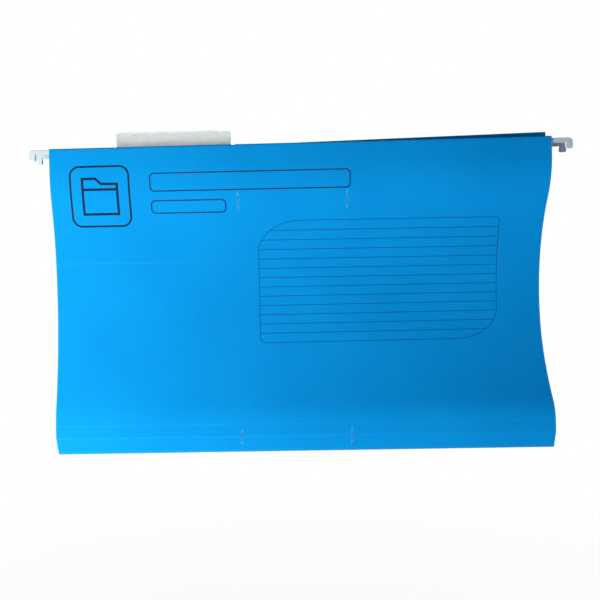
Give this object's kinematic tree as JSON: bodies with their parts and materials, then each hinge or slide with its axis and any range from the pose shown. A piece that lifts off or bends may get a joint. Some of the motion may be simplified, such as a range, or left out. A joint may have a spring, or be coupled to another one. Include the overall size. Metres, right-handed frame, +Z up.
{
  "type": "hanging file folder",
  "caption": "Legal-size hanging file folder: a folded blue paper pocket hung on hooked rods, with a clear index tab and paper label.",
  "frame": {"origin": "midway between the rods and between their ends, at the height of the rails under the hooks", "axes": "+X along the rods to the right seen from the front, +Y from the front leaf to the rear leaf, +Z up"},
  "size_m": [0.4064, 0.0294, 0.245],
  "materials": {
    "blue_paper": "matte coated paper",
    "hook_plastic": "satin",
    "rod_steel": "bare strip",
    "clear_plastic": "clear moulded",
    "label_paper": "matte"
  },
  "bodies": {
    "rear_rod": {"rear_rod": "rod_steel", "rear_left_hook_tip": "hook_plastic", "rear_right_hook_tip": "hook_plastic"},
    "rear_leaf": {"rear_panel": "blue_paper", "rear_hem": "blue_paper", "rear_upper_strip": "blue_paper"},
    "rear_gusset": {"rear_gusset": "blue_paper"},
    "front_gusset": {"front_gusset": "blue_paper"},
    "front_riser": {"front_upper_strip": "blue_paper"},
    "front_leaf": {"front_panel": "blue_paper", "front_hem": "blue_paper"},
    "front_rod": {"front_rod": "rod_steel", "front_left_hook_tip": "hook_plastic", "front_right_hook_tip": "hook_plastic"},
    "index_tab": {"index_tab": "clear_plastic"},
    "label": {"label_insert": "label_paper"}
  },
  "joints": [
    {"name": "rear_rod_float", "type": "slide", "parent": "rear_rod", "child": "rear_leaf", "axis": [1, 0, 0], "range_m": [-0.004, 0.004]},
    {"name": "rear_gusset_fold", "type": "hinge", "parent": "rear_leaf", "child": "rear_gusset", "pos_m": [0, 0.00325, -0.2144], "axis": [1, 0, 0], "range_deg": [-26.1, 0]},
    {"name": "pocket_open", "type": "slide", "parent": "rear_leaf", "child": "front_riser", "axis": [0, -1, 0], "range_m": [0, 0.01]},
    {"name": "front_gusset_fold", "type": "hinge", "parent": "front_riser", "child": "front_gusset", "pos_m": [0, -0.00495, -0.2144], "axis": [1, 0, 0], "range_deg": [0, 26.1]},
    {"name": "front_leaf_swing", "type": "hinge", "parent": "front_riser", "child": "front_leaf", "pos_m": [0, -0.00495, -0.2053], "axis": [1, 0, 0], "range_deg": [0, 120]},
    {"name": "front_rod_float", "type": "slide", "parent": "front_leaf", "child": "front_rod", "axis": [1, 0, 0], "range_m": [-0.004, 0.004]},
    {"name": "tab_release", "type": "slide", "parent": "rear_leaf", "child": "index_tab", "axis": [0, -1, 0], "range_m": [0, 0.002]},
    {"name": "label_slide", "type": "slide", "parent": "index_tab", "child": "label", "axis": [1, 0, 0], "range_m": [0, 0.09]}
  ],
  "couplings": [
    {"joint": "rear_gusset_fold", "follows": "pocket_open", "rad_per_m": -44.695},
    {"joint": "front_gusset_fold", "follows": "pocket_open", "rad_per_m": 44.695}
  ]
}
